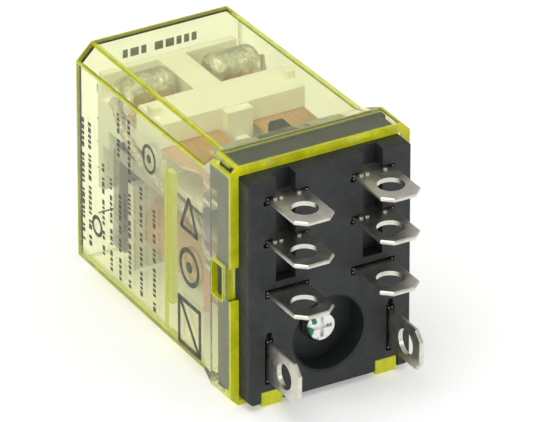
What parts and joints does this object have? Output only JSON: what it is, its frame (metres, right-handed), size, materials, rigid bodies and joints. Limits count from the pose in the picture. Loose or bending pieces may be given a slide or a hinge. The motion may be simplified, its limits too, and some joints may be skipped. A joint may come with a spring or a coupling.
{
  "type": "plug-in relay",
  "caption": "Plug-in power relay with flat blades on a black base, a clear yellow cover, and a hinged armature that switches the contact springs inside",
  "frame": {"origin": "centre of the skirt's outline, on the base's seating face", "axes": "+Y runs from the seating face into the body, +X across the narrow side, +Z from the coil blades towards the upper contact rows; the blades point to -Y"},
  "size_m": [0.021, 0.042, 0.0274],
  "materials": {
    "clear_yellow_cover": "clear, tinted yellow, glossy",
    "black_base": "fine matt moulding",
    "tinned_brass": "tinned, dull bright",
    "silver_contact": "satin silver",
    "magnet_steel": "zinc plated, satin",
    "armature_steel": "zinc plated, satin",
    "screw_steel": "bright plated",
    "white_bobbin": "smooth moulding",
    "copper_wire": "enamelled copper",
    "coil_tape": "tape, slight sheen",
    "copper_braid": "fine braid",
    "spring_steel": "drawn wire",
    "cream_carrier": "smooth moulding",
    "spring_copper": "rolled, bright",
    "solder": "cast solder, mottled"
  },
  "bodies": {
    "housing": {"cover": "clear_yellow_cover", "base": "black_base", "terminal_1": "tinned_brass", "terminal_4": "tinned_brass", "terminal_5": "tinned_brass", "terminal_8": "tinned_brass", "terminal_9": "tinned_brass", "terminal_12": "tinned_brass", "terminal_13": "tinned_brass", "terminal_14": "tinned_brass", "upper_fixed_contact_left": "silver_contact", "upper_fixed_contact_right": "silver_contact", "lower_fixed_contact_left": "silver_contact", "lower_fixed_contact_right": "silver_contact", "yoke": "magnet_steel", "core": "magnet_steel", "shading_ring": "copper_wire", "core_screw": "screw_steel", "bobbin": "white_bobbin", "coil_winding": "copper_wire", "coil_tape": "coil_tape", "coil_lead_left": "copper_wire", "coil_lead_right": "copper_wire", "pole_lead_left": "copper_braid", "pole_lead_right": "copper_braid", "return_spring": "spring_steel"},
    "armature_group": {"armature": "armature_steel", "contact_carrier": "cream_carrier", "leaf_spring_left": "spring_copper", "leaf_spring_right": "spring_copper", "moving_contact_left": "silver_contact", "moving_contact_right": "silver_contact", "solder_dome_left": "solder", "solder_dome_right": "solder"}
  },
  "joints": [
    {"name": "armature_rock", "type": "hinge", "parent": "housing", "child": "armature_group", "pos_m": [0, 0.03135, 0.00155], "axis": [1, 0, 0], "range_deg": [-2.4, 0], "stiffness_Nm_per_rad": 0.02, "springref_deg": 3.44}
  ]
}
